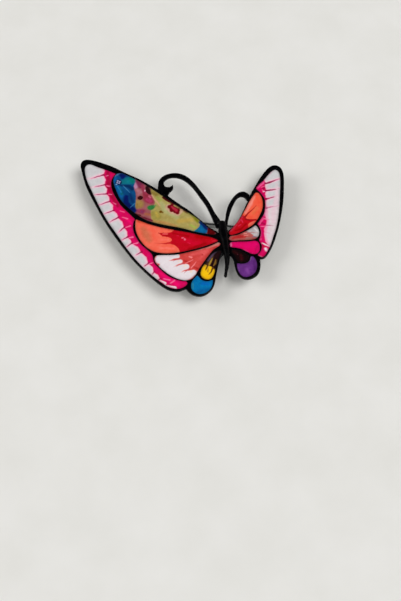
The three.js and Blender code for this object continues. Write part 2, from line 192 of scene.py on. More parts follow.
def loops_at(name, level):
    """The closed edges of a node's flat face at a height, largest first."""
    corners = np.round(node_points(name), WELD_DECIMALS)
    keys = {}
    ids = [keys.setdefault(tuple(corner), len(keys)) for corner in corners]
    points = np.array(list(keys))
    edges = set()
    for polygon in nodes[name].data.polygons:
        ring = [ids[v] for v in polygon.vertices]
        if max(abs(points[i][2] - level) for i in ring) < LEVEL_TOLERANCE:
            for edge in zip(ring, ring[1:] + ring[:1]):
                if edge[::-1] in edges:
                    edges.remove(edge[::-1])
                else:
                    edges.add(edge)
    after = dict(edges)
    loops = []
    while after:
        start, here = after.popitem()
        loop = [start]
        while here != start:
            loop.append(here)
            here = after.pop(here)
        loops.append(points[loop][:, :2])
    return sorted(loops, key=lambda loop: -abs(area_of(loop)))


def area_of(loop):
    x, y = loop.T
    return (x * np.roll(y, -1) - y * np.roll(x, -1)).sum() / 2


def unit(vectors):
    """The vectors made one long."""
    return vectors / np.maximum(np.linalg.norm(vectors, axis=-1, keepdims=True), TINY)


def curve_between(t, span, start, end, start_slope, end_slope):
    """Points on a smooth curve over a span from start to end, at shares t of the way."""
    return (
        (2 * t**3 - 3 * t**2 + 1) * start
        + (t**3 - 2 * t**2 + t) * span * start_slope
        + (3 * t**2 - 2 * t**3) * end
        + (t**3 - t**2) * span * end_slope
    )


def smooth_loop(loop, step=OUTLINE_STEP, softness=CORNER_SOFTNESS):
    """A closed loop sampled again on a smooth curve through its points, with its corners kept."""
    into = unit(loop - np.roll(loop, 1, 0))
    out = unit(np.roll(loop, -1, 0) - loop)
    turn = np.arccos(np.clip((into * out).sum(1), -1, 1))
    middle = unit(into + out)
    is_corner = (turn > CORNER_TURN)[:, None]
    leave = np.where(is_corner, out, middle)
    arrive = np.roll(np.where(is_corner, into, middle), -1, 0)
    samples = []
    for p, q, m, n in zip(loop, np.roll(loop, -1, 0), leave, arrive):
        length = np.linalg.norm(q - p)
        count = max(1, round(length / step))
        t = np.arange(count)[:, None] / count
        samples.append(curve_between(t, length, p, q, m, n))
    return soften(np.vstack(samples), softness)


def soften(loop, softness):
    """A closed loop with its corners rounded by about the given distance."""
    rounds = max(1, round((softness / OUTLINE_STEP) ** 2 * ROUNDS_PER_SOFT_STEP))
    for _ in range(rounds):
        loop = loop * 0.5 + (np.roll(loop, 1, 0) + np.roll(loop, -1, 0)) * 0.25
    return loop


def moved_out(loop, distance):
    """A closed loop moved outwards by a distance, or inwards by a negative one."""
    along = unit(np.roll(loop, -1, 0) - np.roll(loop, 1, 0))
    side = math.copysign(distance, area_of(loop))
    return loop + side * np.stack([along[:, 1], -along[:, 0]], 1)


# ---- Flat regions with shaped edges ----


def edge_distance(points, loops):
    """Distance from each point to the nearest edge of the loops."""
    starts = np.vstack(loops)
    along = np.vstack([np.roll(loop, -1, 0) - loop for loop in loops])
    square = np.maximum((along**2).sum(1), TINY)
    nearest = []
    for chunk in np.array_split(points, len(points) // POINTS_AT_ONCE + 1):
        offset = chunk[:, None] - starts
        t = np.clip((offset * along).sum(2) / square, 0, 1)
        gap = offset - t[:, :, None] * along
        nearest.append(np.sqrt((gap**2).sum(2).min(1)))
    return np.concatenate(nearest)


def is_inside(points, loops):
    """Whether each point is inside the region that the loops bound together."""
    x0, y0 = np.vstack(loops).T
    x1, y1 = np.vstack([np.roll(loop, -1, 0) for loop in loops]).T
    rise = np.where(y1 == y0, TINY, y1 - y0)
    found = []
    for chunk in np.array_split(points, len(points) // POINTS_AT_ONCE + 1):
        x, y = chunk.T[:, :, None]
        crosses = (y0 > y) != (y1 > y)
        ahead = x < x0 + (y - y0) / rise * (x1 - x0)
        found.append((crosses & ahead).sum(1) % 2 == 1)
    return np.concatenate(found)


def grid_points(loops, pitch):
    """Evenly spread points over the box round the first loop."""
    low, high = loops[0].min(0), loops[0].max(0)
    rows = np.arange(low[1], high[1], pitch * ROW_SPACING)
    columns = np.arange(low[0], high[0], pitch)
    return np.array([(x + pitch / 2 * (j % 2), y) for j, y in enumerate(rows) for x in columns])


def region(loops, rings, pitch=None):
    """A flat region's points, triangles and distances to its edge. Rings of points run along its edges."""
    kept = [np.vstack(loops)]
    for ring in rings:
        moved = np.vstack([moved_out(loop, side * ring) for loop in loops for side in (-1, 1)])
        moved = moved[is_inside(moved, loops)]
        kept.append(moved[edge_distance(moved, loops) > ring * RING_MARGIN])
    if pitch:
        spread = grid_points(loops, pitch)
        spread = spread[is_inside(spread, loops)]
        kept.append(spread[edge_distance(spread, loops) > max(rings) + pitch * GRID_MARGIN])
    points = np.vstack(kept)
    edges = []
    start = 0
    for loop in loops:
        count = len(loop)
        edges += [(start + i, start + (i + 1) % count) for i in range(count)]
        start += count
    made = delaunay_2d_cdt([Vector(p) for p in points], edges, [], 0, TRIANGLE_TOLERANCE, False)
    points = np.array([tuple(p) for p in made[0]])
    triangles = np.array(made[2])
    triangles = triangles[is_inside(points[triangles].mean(1), loops)]
    return points, triangles, edge_distance(points, loops)


def ring_faces(count, rows):
    """Faces from each closed row of points to the next."""
    return [
        (row + i, row + (i + 1) % count, row + count + (i + 1) % count, row + count + i)
        for row in range(0, (rows - 1) * count, count)
        for i in range(count)
    ]


class Skin:
    """The points and faces of one mesh while it is being put together."""

    def __init__(self):
        self.points = []
        self.faces = []

    def add(self, points, faces):
        start = len(self.points)
        self.points += [tuple(p) for p in points]
        self.faces += [tuple(int(i) + start for i in face) for face in faces]

    def wall(self, loop, levels):
        """Upright faces along a closed loop, from each level to the next."""
        points = [(x, y, level) for level in levels for x, y in loop]
        self.add(points, ring_faces(len(loop), len(levels)))

    def flat(self, loop, level):
        """A flat face that fills a closed loop."""
        points, triangles, _ = region([loop], [])
        self.add([(x, y, level) for x, y in points], triangles)

    def to_object(self, name, sharp):
        mesh = bpy.data.meshes.new(name)
        mesh.from_pydata([(x * MM, y * MM, z * MM) for x, y, z in self.points], [], self.faces)
        return finished(mesh, name, sharp)


def linked(name, data):
    """A new object in the scene."""
    made = bpy.data.objects.new(name, data)
    bpy.context.scene.collection.objects.link(made)
    return made


def finished(mesh, name, sharp):
    """An object of the mesh: doubled points merged, faces turned outwards and curves shaded smooth."""
    work = bmesh.new()
    work.from_mesh(mesh)
    bmesh.ops.remove_doubles(work, verts=work.verts, dist=WELD_DISTANCE)
    bmesh.ops.recalc_face_normals(work, faces=work.faces)
    work.to_mesh(mesh)
    work.free()
    mesh.shade_smooth()
    mesh.set_sharp_from_angle(angle=math.radians(sharp))
    return linked(name, mesh)


def rounded(points, distance, level, edge, up):
    """The points of a flat face whose edge rounds over, with their heights."""
    short = np.clip(edge - distance, 0, edge)
    drop = edge - np.sqrt(np.maximum(edge**2 - short**2, 0))
    return np.column_stack([points, level - up * drop])


def keep_flats_flat(piece):
    piece.modifiers.new("flat faces", "WEIGHTED_NORMAL").keep_sharp = True


# ---- Metal pieces ----


def slab(node, loops, top_edge, floor=None):
    """A flat casting with rounded edges. The loops after the first are pockets down to a floor."""
    low = bottom_of(node)
    high = top_of(node)
    skin = Skin()
    points, triangles, distance = region(loops, [top_edge * step for step in ROUNDING_STEPS])
    skin.add(rounded(points, distance, high, top_edge, 1), triangles)
    points, triangles, distance = region(loops[:1], [BACK_EDGE * step for step in ROUNDING_STEPS])
    skin.add(rounded(points, distance, low, BACK_EDGE, -1), triangles)
    skin.wall(loops[0], (high - top_edge, low + BACK_EDGE))
    for pocket in loops[1:]:
        skin.wall(pocket, (high - top_edge, floor))
        skin.flat(pocket, floor)
    piece = skin.to_object(node + "_casting", CASTING_SHARP)
    keep_flats_flat(piece)
    return piece


def wing_tray(node):
    """A wing's frame: an outer rim and cell walls that stand on a thin floor."""
    loops = [smooth_loop(loop) for loop in loops_at(node, top_of(node))]
    return slab(node, loops, RIM_EDGE, bottom_of(node) + TRAY_FLOOR)


def antenna(node):
    """An antenna: a flat strip whose edges are broadly rounded."""
    return slab(node, [smooth_loop(loops_at(node, top_of(node))[0])], ANTENNA_EDGE)


def body_stations(node):
    """The body's cross-sections from tail to head: y, middle x, half width and crest height."""
    rings = {}
    for x, y, z in np.round(node_points(node), WELD_DECIMALS):
        rings.setdefault(y, set()).add((x, z))
    stations = []
    for y, ring in sorted(rings.items()):
        xs = [x for x, _ in ring]
        if len(ring) >= BODY_RING_POINTS:
            crest = max(z for _, z in ring)
            stations.append((y, (min(xs) + max(xs)) / 2, (max(xs) - min(xs)) / 2, crest))
    return np.array(stations)


def smooth_values(at, known, values):
    """Values between known places on a smooth curve."""
    slopes = np.gradient(values, known)
    i = np.clip(np.searchsorted(known, at) - 1, 0, len(known) - 2)
    span = known[i + 1] - known[i]
    t = (at - known[i]) / span
    return curve_between(t, span, values[i], values[i + 1], slopes[i], slopes[i + 1])


def body_casting(node):
    """The body: flat below, upright sides, a rounded ridge, a blunt head and a small knob at the tail."""
    known = body_stations(node)
    low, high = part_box(node)
    tail, head, base = low.y / MM, high.y / MM, low.z / MM
    shoulder = base + BODY_SHOULDER
    head_arc = head - HEAD_ROUNDING * (1 - np.cos(np.linspace(0, np.pi / 2, HEAD_STATIONS)))
    ys = np.unique(np.concatenate([np.arange(tail, head, BODY_STATION_STEP), head_arc, [head]]))
    inside = np.clip(ys, known[0, 0], known[-1, 0])
    middle, half, crest = [smooth_values(inside, known[:, 0], known[:, column]) for column in (1, 2, 3)]
    knob = np.sqrt(np.maximum(KNOB_RADIUS**2 - (ys - tail - KNOB_RADIUS) ** 2, 0))
    knob_crest = base + KNOB_RADIUS + knob
    beyond = ys < known[0, 0]
    half = np.where(beyond, knob, np.maximum(half, knob))
    crest = np.where(beyond, knob_crest, np.maximum(crest, knob_crest))
    near_head = np.clip(1 - (head - ys) / HEAD_ROUNDING, 0, 1)
    close = np.sqrt(1 - near_head**2)
    half = half - HEAD_ROUNDING * HEAD_NARROWING * (1 - close)
    fall = HEAD_END_HEIGHT + (1 - HEAD_END_HEIGHT) * close
    crest = np.minimum(shoulder + (crest - shoulder) * fall, high.z / MM)
    return loft(node, ys, middle, half, crest, base, shoulder)


def loft(node, ys, middle, half, crest, base, shoulder):
    """A skin through the body's cross-sections, each an arch on upright sides over a flat base."""
    angles = np.linspace(0, np.pi, BODY_ARCH_STEPS + 1)
    rings = []
    for y, x, h, top in zip(ys, middle, half, crest):
        side = min(shoulder, (base + top) / 2)
        rise = top - side
        foot = h - min(BODY_LOW_EDGE, h / 2)
        lift = base + BODY_LOW_EDGE
        ring = [(x + h * math.cos(a), y, side + rise * math.sin(a) ** BODY_ARCH_POWER) for a in angles]
        ring += [(x - h, y, lift), (x - foot, y, base), (x + foot, y, base), (x + h, y, lift)]
        rings.append(ring)
    size = len(rings[0])
    skin = Skin()
    skin.add([p for ring in rings for p in ring], ring_faces(size, len(rings)))
    last = (len(rings) - 1) * size
    skin.faces += [tuple(range(size)), tuple(range(last, last + size))]
    return skin.to_object(node + "_ridge", CASTING_SHARP)


def finding(node):
    """A CAD node's shape with its sharp edges rounded over."""
    mesh = nodes[node].data.copy()
    mesh.name = node + "_finished"
    work = bmesh.new()
    work.from_mesh(mesh)
    bmesh.ops.remove_doubles(work, verts=work.verts, dist=CAD_WELD_DISTANCE)
    bmesh.ops.dissolve_limit(work, angle_limit=math.radians(FLAT_WITHIN), verts=work.verts, edges=work.edges)
    sharp = [e for e in work.edges if e.is_manifold and e.calc_face_angle(0) > math.radians(BEVELLED_FROM)]
    bevel = {"offset": FINDING_EDGE * MM, "segments": FINDING_EDGE_SEGMENTS, "profile": 0.5}
    bmesh.ops.bevel(work, geom=sharp, affect="EDGES", clamp_overlap=True, **bevel)
    work.to_mesh(mesh)
    work.free()
    mesh.materials.clear()
    piece = finished(mesh, node + "_finished", FINDING_SHARP)
    keep_flats_flat(piece)
    return piece


# ---- Enamel pieces ----


def meniscus(points, triangles, distance, edge_level, middle_level):
    """Heights of fired enamel: it creeps up the walls and is lower in the middle."""
    pairs = ([0, 1], [1, 2], [2, 0], [1, 0], [2, 1], [0, 2])
    start, end = np.vstack([triangles[:, pair] for pair in pairs]).T
    count = np.bincount(start, minlength=len(points))
    length = ((points[start] - points[end]) ** 2).sum(1)
    square = np.bincount(start, length, len(points)) / count
    # Each height is drawn to the mean of its neighbours, as a film is by its surface tension
    pull = 4 * MENISCUS_WIDTH**2 / square
    height = middle_level + (edge_level - middle_level) * np.exp(-distance / MENISCUS_WIDTH)
    for _ in range(MENISCUS_ROUNDS):
        around = np.bincount(start, height[end], len(points)) / count
        height = np.where(distance < ON_EDGE, edge_level, (pull * around + middle_level) / (pull + 1))
    return height


def enamel_fill(node, face):
    """The enamel of one cell, a little below the rims' face."""
    top = top_of(node)
    loop = moved_out(smooth_loop(loops_at(node, top)[0]), ENAMEL_OVERLAP)
    points, triangles, distance = region([loop], ENAMEL_RINGS, ENAMEL_GRID)
    edge_level = face - EDGE_BELOW_RIM
    height = meniscus(points, triangles, distance, edge_level, face - MIDDLE_BELOW_RIM)
    skin = Skin()
    skin.add(np.column_stack([points, height]), triangles)
    base = bottom_of(node)
    skin.wall(loop, (edge_level, base))
    skin.flat(loop, base)
    return skin.to_object(node + "_fired", ENAMEL_SHARP)


# ---- Painting: brush strokes and patches laid over a ground colour ----


def eased(share):
    share = np.clip(share, 0, 1)
    return share * share * (3 - 2 * share)


def brush(colour, soft, *paths):
    """Brush strokes. Each path's points are x, y and half width."""

    def cover(points):
        whole = np.zeros(len(points))
        for path in paths:
            path = list(path) if len(path) > 1 else [path[0], path[0]]
            for (x0, y0, w0), (x1, y1, w1) in zip(path, path[1:]):
                along = np.array([x1 - x0, y1 - y0])
                t = np.clip((points - (x0, y0)) @ along / max(along @ along, TINY), 0, 1)
                gap = np.linalg.norm(points - (x0, y0) - t[:, None] * along, axis=1)
                whole = np.maximum(whole, eased((w0 + t * (w1 - w0) - gap) / soft + 0.5))
        return whole

    return linear(colour), cover


def widened(paths, amount):
    """The paths with every half width made larger."""
    return [[(x, y, width + amount) for x, y, width in path] for path in paths]


def signed_depth(points, loop):
    """Distance of each point from a loop's edge, negative outside it."""
    distance = edge_distance(points, [loop])
    return np.where(is_inside(points, [loop]), distance, -distance)


def patch(colour, soft, *outline):
    """One area of colour with a smooth outline."""
    loop = smooth_loop(np.array(outline, float), PATCH_STEP, PATCH_SOFTNESS)

    def cover(points):
        return eased(signed_depth(points, loop) / soft + 0.5)

    return linear(colour), cover


def wobbled(points, amount, size):
    """The points moved about by smooth noise, as the edge of a brush stroke wanders."""
    moves = [noise.noise_vector(Vector((x / size, y / size, 0))) for x, y in points]
    return points + amount * np.array([(move.x, move.y) for move in moves])


def paint(piece, node, ground, layers):
    """Lays a ground colour and layers over it into the piece's paint, and darkens it along the rim, partly as
    painted shade from the wall and partly for the thin enamel over the black metal.
    """
    mesh = piece.data
    points = np.array([v.co[:2] for v in mesh.vertices]) / MM
    rim = smooth_loop(loops_at(node, top_of(node))[0])
    # Painted shade along the rim, partly the thin enamel over the black metal
    shade = 1 - EDGE_SHADE * np.exp(-edge_distance(points, [rim]) / EDGE_SHADE_WIDTH)
    for amount, size in BRUSH_WOBBLES:
        points = wobbled(points, amount, size)
    colours = np.tile(linear(ground), (len(points), 1))
    for colour, cover in layers:
        share = cover(points)[:, None]
        colours = colours * (1 - share) + colour * share
    colours = colours * shade[:, None]
    attribute = mesh.attributes.new("paint", "FLOAT_COLOR", "POINT")
    attribute.data.foreach_set("color", np.column_stack([colours, np.ones(len(colours))]).ravel())


def teeth(colour, soft, spikes, reach, gap):
    """Teeth between neighbouring spikes: domed at the spikes' roots, and joined beyond their tips."""
    cores = []
    for (root, tip), (next_root, next_tip) in zip(spikes, spikes[1:]):
        root, tip, next_root, next_tip = map(np.array, (root, tip, next_root, next_tip))
        width = np.linalg.norm(next_root - root)
        inset = TOOTH_ROUNDING * width
        across = unit(next_root - root) * inset
        out = unit(tip + next_tip - root - next_root)
        start = out * inset
        crown = (root + next_root) / 2 + out * (inset - TOOTH_BULGE * width)
        beyond = tip + unit(tip - root) * reach
        next_beyond = next_tip + unit(next_tip - next_root) * reach
        core = [root + across + start, beyond, next_beyond, next_root - across + start, crown]
        cores.append((np.array(core), inset - gap))

    def cover(points):
        depths = [signed_depth(points, core) + grown for core, grown in cores]
        return eased(np.max(depths, axis=0) / soft + 0.5)

    return linear(colour), cover


def toothed(spikes, reach):
    """White teeth with blushing edges, and thin spikes that fade out between them."""
    flares = []
    edges = []
    lines = []
    for root, tip in spikes:
        near = np.array(root) * (1 - SPIKE_FLARE) + np.array(tip) * SPIKE_FLARE
        middle = (near + tip) / 2
        flares.append([(*root, 0.28), (*near, 0.1)])
        edges.append([(*near, 0.3), (*middle, 0.32), (*tip, 0.2)])
        lines.append([(*root, 0.14), (*near, 0.14), (*middle, 0.12), (*tip, 0.0)])
    return [
        teeth(BLUSH, 0.14, spikes, reach, 0.04),
        teeth(PINK_WHITE, 0.3, spikes, reach, 0.26),
        brush(BLUSH, 0.2, *edges),
        teeth(WHITE, 0.6, spikes, reach, 0.7),
        brush(DEEP_PINK, 0.2, *flares),
        brush(SPIKE, 0.14, *lines),
    ]


# ---- The colours of each cell, as layers of brush strokes and patches, some of them painted highlights ----

# A pink band with white teeth along the outer rim
LEFT_BORDER = [
    brush((176, 6, 60), 0.7, [(-21, 17.4, 0.5), (-20.7, 12.6, 0.6), (-19.6, 9.6, 0.5), (-17.8, 6.4, 0.4)]),
    brush((246, 10, 112), 0.8, [(-15, 2.2, 0.4), (-13.6, 0.6, 0.3)], [(-5.4, -14.6, 0.4), (-1, -18, 0.5)]),
    *toothed(LEFT_SPIKES, 3.5),
    brush(
        LIGHT_PINK, 0.24, [(-21.5, 16.3, 0.08), (-20.9, 16.5, 0.1)],
        [(-21.1, 13.1, 0.16), (-20.5, 12.9, 0.2)], [(-20.5, 10.3, 0.12), (-19.8, 10.2, 0.16)],
        [(-19.2, 7.6, 0.08), (-18.4, 7.1, 0.12)], [(-17.2, 4.9, 0.08), (-16, 4.5, 0.12)],
        [(-16.4, 2.8, 0.12), (-15.1, 2.4, 0.22)], [(-15.4, -0.4, 0.14), (-14.2, 0.1, 0.24)],
        [(-14.5, -3.6, 0.14), (-13.4, -3.4, 0.22)], [(-13.2, -5.5, 0.14), (-12, -5.2, 0.22)],
        [(-9, -11.8, 0.12), (-8, -11.4, 0.18)], [(-4.8, -16.2, 0.14), (-3.2, -16.6, 0.2)],
        [(-2.9, -17.5, 0.16), (-1.8, -16.7, 0.18)],
    ),
    brush(
        (238, 218, 226), 0.9, [(-15.2, -7, 0.2), (-12.2, -10.6, 0.4), (-9.6, -13.6, 0.3), (-7.8, -15.6, 0.1)],
    ),
    brush(
        (244, 220, 230), 0.22, [(-5.8, -16.8, 0.2), (-4.3, -17.5, 0.34)],
        [(-4.6, -18, 0.16), (-1.6, -18.9, 0.36)],
    ),
]

# The olive ground, clouded
OLIVE_FIELD = [
    brush((180, 178, 122), 1.4, [(-5.8, 7.4, 0.5), (-4.8, 5.2, 0.8), (-1.4, 2.9, 0.6)]),
    brush((192, 164, 82), 1, [(-0.8, 1.6, 0.6), (3.2, 2.2, 0.6)]),
    brush((190, 142, 82), 1, [(-8, 1.7, 0.4), (-4.4, 1, 0.5), (-1.6, 0, 0.3)]),
    brush((146, 126, 56), 0.9, [(-9, 11.2, 0.5), (-7.2, 10.1, 0.5)]),
    brush((162, 168, 82), 0.7, [(-7, 9.3, 0.3), (-6.2, 8.4, 0.5)]),
    patch(
        (164, 150, 74), 0.8, (-8.6, 4.4), (-7.6, 5.2), (-6.2, 4.6), (-5.7, 3.4), (-6.1, 2.1), (-7.4, 1.8),
        (-8.6, 2.7),
    ),
    brush((184, 160, 72), 0.7, [(-7.1, 4.3, 0.4), (-6.7, 3.2, 0.4)]),
]

# Rose petals, an ochre patch, dark spots and a green leaf
ROSE_AREA = [
    patch(
        (162, 94, 96), 0.35, (-14.4, 16.6), (-11, 15), (-9.1, 12.9), (-8.8, 11.2), (-8.3, 9.7), (-7.5, 7.7),
        (-8, 6.2), (-8.7, 4.8), (-8.5, 2.8), (-8, 1), (-12.5, 2.4), (-14.8, 6),
    ),
    brush((128, 44, 80), 0.7, [(-12.8, 14.2, 0.7), (-11.6, 13.1, 0.9)]),
    brush((184, 128, 162), 0.7, [(-13.4, 13.9, 0.4), (-13.1, 12.6, 0.6)]),
    brush((176, 110, 122), 0.5, [(-12.6, 11.7, 0.4), (-11.8, 11, 0.6), (-12.3, 10.3, 0.4)]),
    brush((158, 54, 82), 0.6, [(-11.2, 12.9, 0.5), (-10.8, 11.6, 0.5), (-10.2, 10.2, 0.6)]),
    brush((232, 174, 194), 0.2, [(-10.45, 11.6, 0.18), (-10.4, 11.3, 0.12)]),
    patch(
        (164, 130, 74), 1.1, (-13.4, 8.4), (-11.5, 8.5), (-10.6, 7.4), (-10.8, 6), (-12.6, 5.5), (-13.6, 6.2),
    ),
    brush((148, 112, 50), 0.3, [(-12.5, 7.2, 0.12), (-12.5, 5.9, 0.16)]),
    patch(
        (156, 48, 70), 0.7, (-11.2, 10.8), (-9.8, 10.6), (-8.8, 9.8), (-8, 8.6), (-7.7, 7.5), (-9, 7.1),
        (-10.3, 7.7), (-10.9, 9),
    ),
    brush((176, 58, 98), 0.6, [(-9.8, 8.6, 0.5), (-8.9, 8.1, 0.6)]),
    brush((206, 100, 126), 0.35, [(-9.3, 9.7, 0.2), (-8.9, 9.2, 0.22)]),
    patch(MAROON, 0.18, (-10.4, 13.3), (-9.3, 12.7), (-8.9, 11.3), (-8.3, 9.9), (-9.3, 10.1), (-10.2, 11.2)),
    patch((58, 6, 10), 0.15, (-12.7, 9.1), (-12, 9.9), (-10.9, 9.7), (-10.8, 8.9), (-11.6, 8.2)),
    brush((152, 56, 88), 0.9, [(-12.2, 4.9, 0.6), (-10.9, 4.7, 0.8)]),
    brush((140, 60, 108), 0.3, [(-11.1, 4.6, 0.28)]),
    brush((92, 12, 26), 0.35, [(-12.7, 3.9, 0.3), (-11.6, 3.4, 0.3)]),
    brush((122, 34, 56), 0.5, [(-11.2, 2.9, 0.3), (-9, 2.1, 0.4), (-8.2, 1.8, 0.2)]),
    brush((172, 100, 74), 0.5, [(-10, 3.9, 0.4), (-8.9, 3.7, 0.4)]),
    patch(
        (46, 120, 58), 0.45, (-10, 6.2), (-9, 6.7), (-8, 6.9), (-7.3, 6.9), (-7.6, 5.9), (-8.2, 5.1),
        (-9.1, 4.9),
    ),
    brush((96, 146, 88), 0.4, [(-7.8, 6.4, 0.15), (-7.3, 6.8, 0.12)]),
    brush((206, 166, 126), 0.3, [(-8.5, 10, 0.14), (-7.4, 8.2, 0.18), (-6.2, 6.6, 0.18)]),
]

# The blue end with its navy and teal brushwork and small star
BLUE_END = [
    patch(
        BLUE, 0.18, (-20.2, 16), (-18.5, 18.4), (-15.6, 18), (-13.4, 15.6), (-13.3, 14), (-13.7, 12.8),
        (-13.2, 11.5), (-12.8, 9.7), (-12.9, 7.4), (-13, 6.1), (-12.7, 5.2), (-12.8, 4.4), (-13.6, 3.4),
        (-17, 6),
    ),
    brush((8, 98, 164), 0.9, [(-19, 15.6, 0.6), (-18.4, 12.4, 0.6), (-17, 9.6, 0.5)]),
    brush((110, 154, 206), 0.4, [(-19, 16.2, 0.2), (-18.3, 16.9, 0.28), (-17.6, 17.1, 0.2)]),
    brush(NAVY, 0.6, [(-17.6, 16.8, 0.4), (-16.8, 16.2, 0.85)]),
    brush(TEAL, 0.7, [(-16.6, 14.3, 0.7), (-15.4, 14.7, 1.1), (-14.3, 14.6, 1.1)]),
    brush((2, 122, 112), 0.7, [(-14.6, 15.3, 0.5), (-13.9, 14.5, 0.5)]),
    brush((3, 48, 96), 0.5, [(-17.2, 13.2, 0.25), (-15, 12.9, 0.5), (-14, 12.2, 0.6)]),
    brush((10, 104, 128), 0.6, [(-17.7, 12.4, 0.4), (-16.9, 10.4, 0.4)]),
    brush(NAVY, 0.8, [(-15.6, 9.4, 0.7), (-15.6, 7.6, 0.8), (-14.2, 5.8, 0.8), (-13.2, 5, 0.7)]),
    brush((2, 50, 108), 0.9, [(-14.6, 10.4, 0.4), (-13.8, 8, 0.6)]),
    # Pale blue streaks; the last one, along the lower left edge, is a painted highlight
    brush(
        PALE_BLUE, 0.16, [(-16.7, 13.1, 0.05), (-15.6, 12, 0.13), (-14.7, 10.9, 0.1)],
        [(-14.4, 6, 0.06), (-13.1, 7.3, 0.1)], [(-16.3, 7.1, 0.06), (-14.2, 4.8, 0.08)],
    ),
    brush((34, 126, 190), 0.25, [(-18.1, 12.9, 0.16), (-17.1, 10.9, 0.12)]),
    brush((2, 20, 72), 0.3, [(-17.9, 14.2, 0.9)], [(-18.4, 13.5, 0.4)]),
    brush(
        (168, 170, 212), 0.22, [(-18.1, 14.65, 0.24)], [(-17.55, 14.4, 0.24)], [(-17.7, 13.9, 0.22)],
        [(-18.25, 14.1, 0.22)],
    ),
    brush((112, 170, 222), 0.16, [(-18.45, 13.5, 0.22)]),
]

# The red flower on its tan halo, and the dark marks along the rim
RED_FLOWER = [
    brush((116, 76, 14), 0.3, [(-5.9, 4.6, 0.42)], [(-5.4, 4.4, 0.24)]),
    brush((204, 166, 136), 0.4, [(-3.7, 6.1, 0.95), (-2.6, 4.8, 0.95), (-1.3, 4.2, 0.9), (-0.4, 4.9, 0.6)]),
    brush(
        (120, 2, 22), 0.16, [(-3.5, 6.2, 0.6)], [(-2.9, 6.6, 0.5)], [(-2.8, 5.2, 0.68)], [(-2, 4.7, 0.6)],
        [(-1.35, 4.35, 0.58)], [(-1.2, 5.1, 0.6)], [(-2.8, 5.8, 0.85), (-1.6, 5.1, 0.8)],
    ),
    brush((184, 40, 64), 0.4, [(-2.9, 6.2, 0.25), (-1.7, 5.1, 0.5)]),
    brush((84, 6, 12), 0.2, [(-5.4, 9.3, 0.3), (-4.1, 8.4, 0.45), (-2.8, 7.4, 0.4), (-1.9, 6.8, 0.2)]),
    brush((124, 60, 70), 0.25, [(-2.2, 6.9, 0.16), (-0.4, 5.5, 0.16)]),
    brush((92, 22, 24), 0.3, [(0.4, 5, 0.3), (1.6, 4.3, 0.34)]),
    brush((112, 120, 46), 0.6, [(1.7, 4.3, 0.2), (3, 3.3, 0.35)]),
    brush((138, 138, 30), 0.7, [(3.4, 2.7, 0.4), (4.3, 1.5, 0.5)]),
    brush((168, 182, 82), 0.6, [(2.3, 0.4, 0.3), (3.6, -0.4, 0.35)]),
    brush((122, 160, 140), 0.3, [(0.8, -1, 0.06), (2.8, -1.6, 0.12)]),
]

# Blue and dark red next to the body
BODY_END = [
    patch(
        (8, 106, 158), 0.18, (4.6, 2.6), (5, 1.3), (4.9, 0.3), (4.5, -0.4), (3.7, -1.2), (2.9, -1.6),
        (3.2, -3), (6.4, -3.4), (7.1, -1.3), (6.9, -0.4), (7.6, 0.4), (6, 2),
    ),
    brush((3, 34, 104), 0.6, [(4.9, 1.3, 0.35), (5.9, 0.4, 0.5), (6.8, -0.8, 0.45)]),
    brush((10, 112, 108), 0.35, [(3.5, -1.9, 0.15), (4.3, -1.2, 0.2)]),
    brush((24, 26, 92), 0.35, [(4.8, -2.6, 0.12), (6.6, -2.4, 0.16)]),
    patch((92, 0, 4), 0.22, (7, 0.3), (7, -1.3), (6.5, -3.4), (10.4, -3.2), (10.2, -1.4), (8.2, 0.2)),
    # Pale marks; the one at the cell's end by the body, near (9, -2.4), is a painted highlight
    brush(
        (156, 84, 92), 0.25, [(8.9, -2.5, 0.12), (9.4, -2.3, 0.18)], [(6.7, -2.3, 0.14), (7.1, -2.7, 0.1)],
    ),
]

FLORAL = OLIVE_FIELD + ROSE_AREA + BLUE_END + RED_FLOWER + BODY_END

